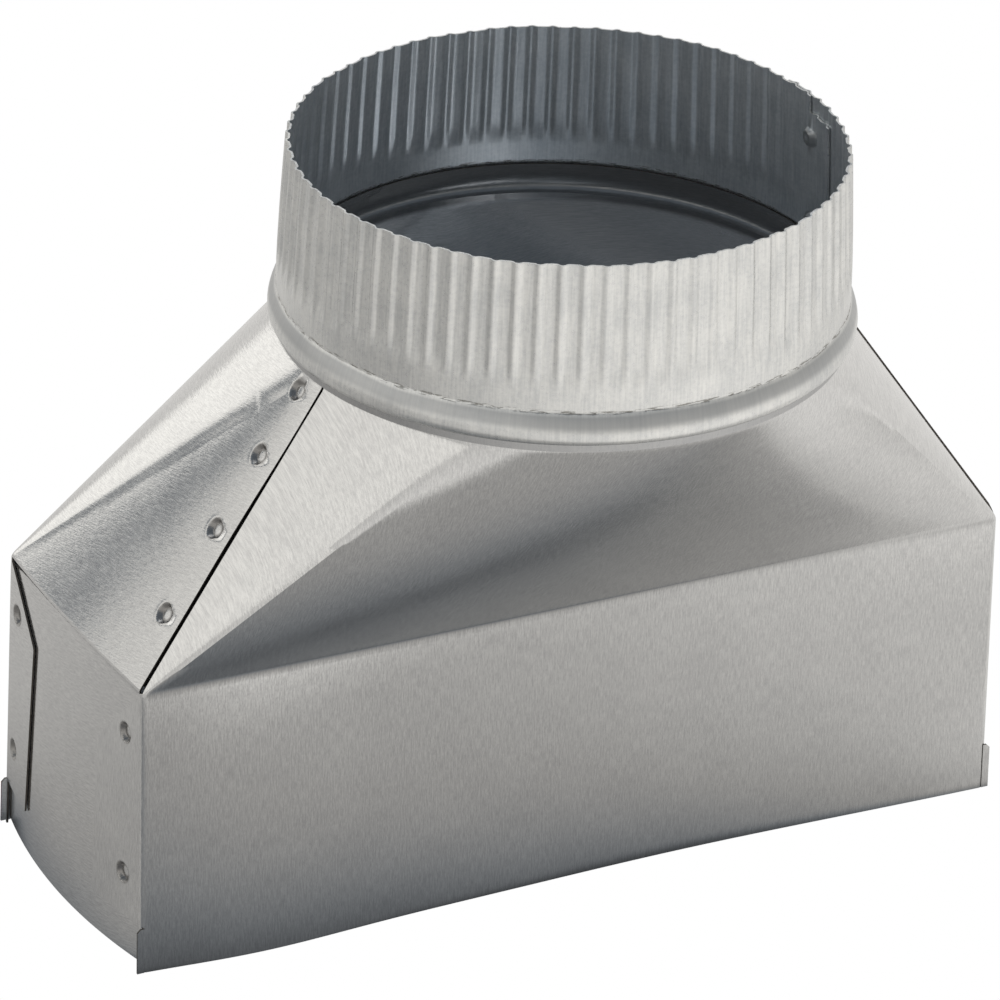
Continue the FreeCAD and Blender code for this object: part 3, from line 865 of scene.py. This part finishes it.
ZINC = (0.8, 0.8, 0.79)
ZINC_DARK = (0.6, 0.6, 0.6)
# Painted light: each inner skin has its own copy of the zinc, bluer and partly diffuse, and on the front
# panel and back wrap lighter too, set to how bright the inside looks.
PAINTED_INSIDE = (0.9, 0.91, 0.92)
PAINTED_INSIDE_DARK = (0.66, 0.68, 0.7)
# Painted shadow: the tucks seen through the seams' gaps are near black.
seam_painted_shadow = dark_zinc("seam_painted_shadow", (0.008, 0.008, 0.008), (0.03, 0.03, 0.03))
# Bare edges: dark brownish steel, kept near black so that they also stand in for the shade in the gaps
# beside them.
raw_edge_and_gap_shade = dark_zinc("raw_edge_and_gap_shade", (0.05, 0.045, 0.038), (0.22, 0.2, 0.18))
front_faces = (galvanized("front_zinc", 0.0, ZINC, ZINC_DARK, 0.15, 0.045, 0.06), seam_painted_shadow,
               galvanized("front_inside_painted_light", 0.0, PAINTED_INSIDE, PAINTED_INSIDE_DARK, 0.2, 0.04, 0.06, 0.65), raw_edge_and_gap_shade)
back_faces = (galvanized("back_zinc", BACK_TURN, ZINC, ZINC_DARK, 0.14, 0.04, 0.06), seam_painted_shadow,
              galvanized("back_inside_painted_light", BACK_TURN, PAINTED_INSIDE, PAINTED_INSIDE_DARK, 0.2, 0.04, 0.06, 0.65), raw_edge_and_gap_shade)
collar_faces = (dull_zinc("collar_zinc", (0.6, 0.61, 0.61), (0.8, 0.8, 0.78), 0.3, 1.0),
                dull_zinc("collar_inside_painted_light", (0.56, 0.6, 0.63), (0.76, 0.79, 0.81), 0.38, 0.8))
for piece, faces in ((front, front_faces), (back, back_faces), (collar, collar_faces)):
    for material in faces:
        piece.data.materials.append(material)

for piece, node in ((front, "front_panel"), (back, "back_wrap"), (collar, "collar")):
    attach(piece, "root")
    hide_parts(node)

# Floor, light and camera

bpy.ops.mesh.primitive_plane_add(size=8, location=(0, 0, 0))
floor = bpy.context.object
floor.name = "floor"
floor.data.materials.append(floor_painted_light())
bpy.context.scene.world = studio()

LIGHT_PLACE = Vector((0.3, 0.9, 1.5))
LIGHT_AIM = Vector((0, 0, 0.1))
softbox = bpy.data.lights.new("top_light", "AREA")
softbox.shape = "RECTANGLE"
softbox.size = 1.0
softbox.size_y = 0.6
softbox.energy = 4
light = bpy.data.objects.new("top_light", softbox)
bpy.context.collection.objects.link(light)
light.location = LIGHT_PLACE
light.rotation_euler = (LIGHT_AIM - LIGHT_PLACE).to_track_quat("-Z", "Y").to_euler()

AZIMUTH = math.radians(-26.72)
ELEVATION = math.radians(27.36)
ROLL = math.radians(1.73)
DISTANCE = 2.388
TARGET = Vector((-0.04017, 0, 0.10829))
FOCAL = 8.780
SHIFT_X = 0.12174
SHIFT_Y = -0.01545
SENSOR = 36

toward = Vector((math.sin(AZIMUTH) * math.cos(ELEVATION), -math.cos(AZIMUTH) * math.cos(ELEVATION),
                 math.sin(ELEVATION)))
right = Vector((math.cos(AZIMUTH), math.sin(AZIMUTH), 0))
up = toward.cross(right)
across = right * math.cos(ROLL) + up * math.sin(ROLL)
upward = up * math.cos(ROLL) - right * math.sin(ROLL)
camera_data = bpy.data.cameras.new("camera")
camera = bpy.data.objects.new("camera", camera_data)
bpy.context.collection.objects.link(camera)
turned = camera.matrix_world.to_3x3()
for column, axis in enumerate((across, upward, toward)):
    turned.col[column] = axis
camera.matrix_world = turned.to_4x4()
camera.location = TARGET + toward * DISTANCE
camera_data.sensor_width = SENSOR
camera_data.lens = FOCAL * SENSOR
camera_data.shift_x = SHIFT_X
camera_data.shift_y = SHIFT_Y
camera_data.clip_end = 20
bpy.context.scene.camera = camera
bpy.context.scene.view_settings.view_transform = "Standard"
